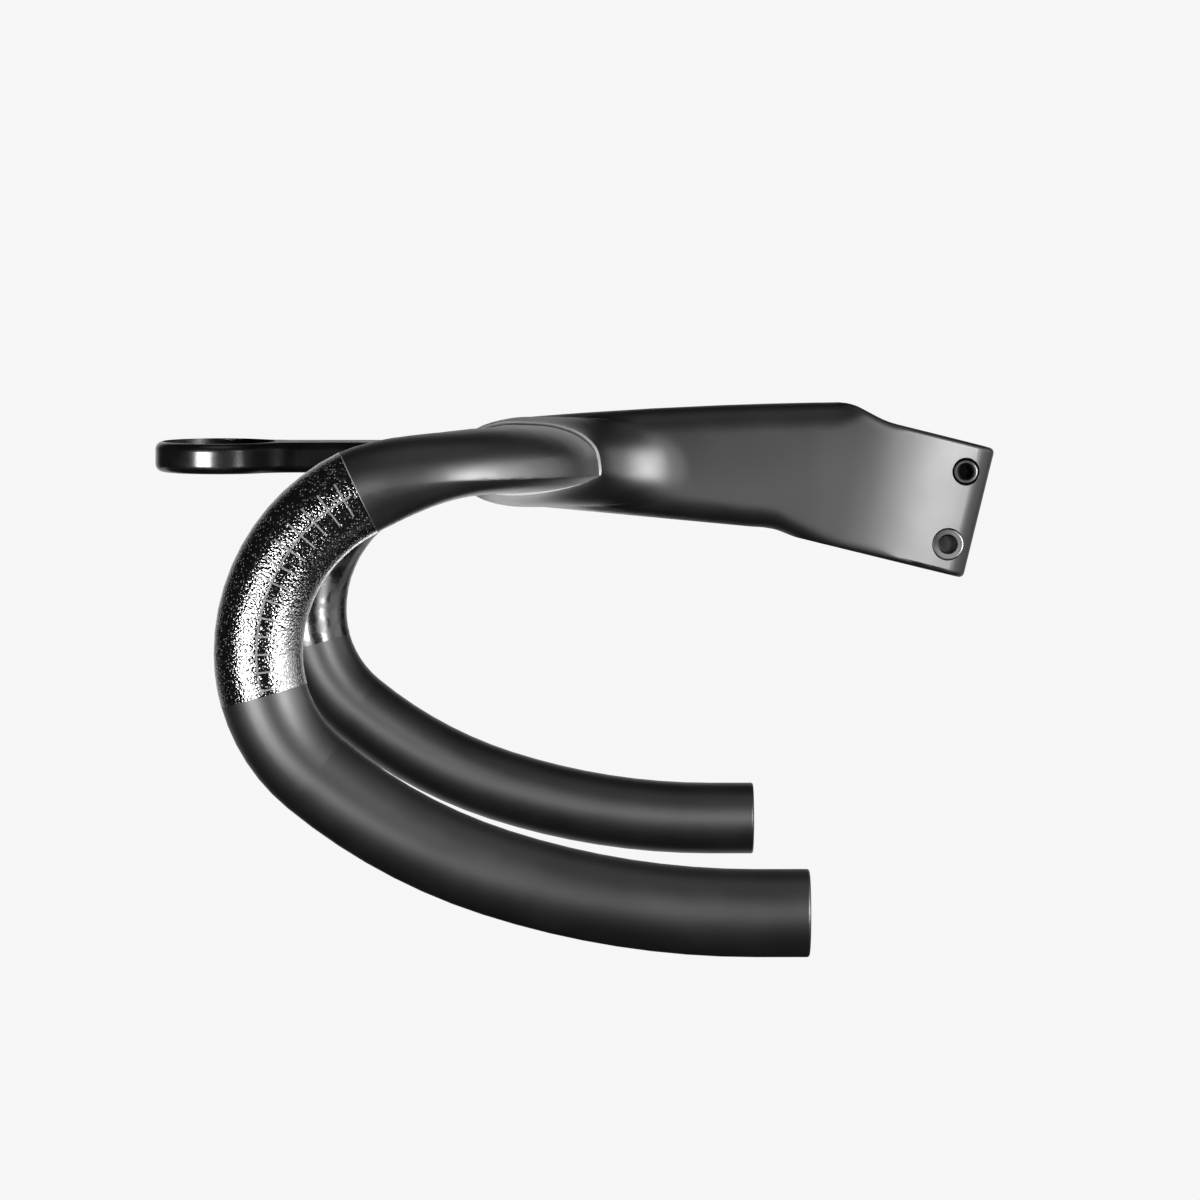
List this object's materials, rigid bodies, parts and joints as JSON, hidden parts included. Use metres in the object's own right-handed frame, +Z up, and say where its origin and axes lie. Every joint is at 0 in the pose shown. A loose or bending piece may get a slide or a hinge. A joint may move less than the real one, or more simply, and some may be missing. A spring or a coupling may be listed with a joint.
{
  "type": "integrated handlebar stem",
  "caption": "One-piece road handlebar and stem with flat wing tops, curved drops, a pinch clamp for the steerer and a computer mount on an arm ahead of the bar.",
  "frame": {"origin": "on the steerer axis, at the centre of the clamp's lower face", "axes": "+X forward in the riding direction, +Y to the rider's left, +Z up; the steerer axis leans back from +Z by 13.8 degrees"},
  "size_m": [0.2547, 0.4444, 0.1516],
  "materials": {
    "carbon": "satin",
    "mount_plastic": "gloss",
    "insert_plastic": "matte",
    "black_steel": "satin"
  },
  "bodies": {
    "root": {"cockpit_body": "carbon", "mount_arm": "mount_plastic", "socket_insert": "insert_plastic", "mount_screws": "black_steel", "insert_screws": "black_steel", "upper_pinch_bolt": "black_steel", "lower_pinch_bolt": "black_steel", "upper_sleeve_nut": "black_steel", "lower_sleeve_nut": "black_steel"}
  },
  "joints": []
}
